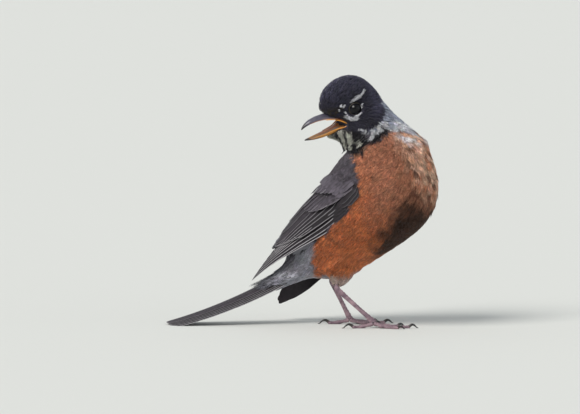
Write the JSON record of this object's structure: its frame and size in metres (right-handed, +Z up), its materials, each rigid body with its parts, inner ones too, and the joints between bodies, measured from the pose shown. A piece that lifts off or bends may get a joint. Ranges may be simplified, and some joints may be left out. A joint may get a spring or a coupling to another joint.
{
  "type": "american robin, standing bird model",
  "caption": "Life-size american robin standing with its head turned back over its right shoulder, bill open, left wing a little lowered and the tail laid on the floor.",
  "frame": {"origin": "on the floor, under the middle of the bird's box", "axes": "+Z up, +X the way the tail points away from and the feet point to, +Y the bird's left side"},
  "size_m": [0.1764, 0.0812, 0.1644],
  "materials": {
    "plumage_dark": "soft charcoal feathers",
    "plumage_grey": "soft grey-brown feathers",
    "plumage_rufous": "soft brick-orange feathers",
    "plumage_pale": "soft whitish-grey feathers",
    "flight_feather": "dark vanes with pale edges",
    "bill_horn": "horn, dark on the ridge and yellow-orange along the edges",
    "leg_skin": "scaled purplish-brown skin",
    "claw_horn": "dark horn",
    "eye_gloss": "wet, nearly black",
    "tongue_skin": "moist"
  },
  "bodies": {
    "root": {"bill_lower": "bill_horn", "bill_upper": "bill_horn", "claw_left_1": "claw_horn", "claw_left_2": "claw_horn", "claw_left_3": "claw_horn", "claw_left_4": "claw_horn", "claw_right_1": "claw_horn", "claw_right_2": "claw_horn", "claw_right_3": "claw_horn", "claw_right_4": "claw_horn", "eye_left": "eye_gloss", "eye_right": "eye_gloss", "head": "plumage_dark", "neck": "plumage_grey", "rump": "plumage_pale", "tail": "flight_feather", "tarsus_left": "leg_skin", "tarsus_right": "leg_skin", "thigh_left": "plumage_rufous", "thigh_right": "plumage_rufous", "toe_left_1": "leg_skin", "toe_left_2": "leg_skin", "toe_left_3": "leg_skin", "toe_left_4": "leg_skin", "toe_right_1": "leg_skin", "toe_right_2": "leg_skin", "toe_right_3": "leg_skin", "toe_right_4": "leg_skin", "tongue": "tongue_skin", "trunk": "plumage_rufous", "wing_left_coverts": "plumage_grey", "wing_left_primaries": "flight_feather", "wing_left_secondaries": "flight_feather", "wing_right_coverts": "plumage_grey", "wing_right_primaries": "flight_feather", "wing_right_secondaries": "flight_feather"}
  },
  "joints": []
}
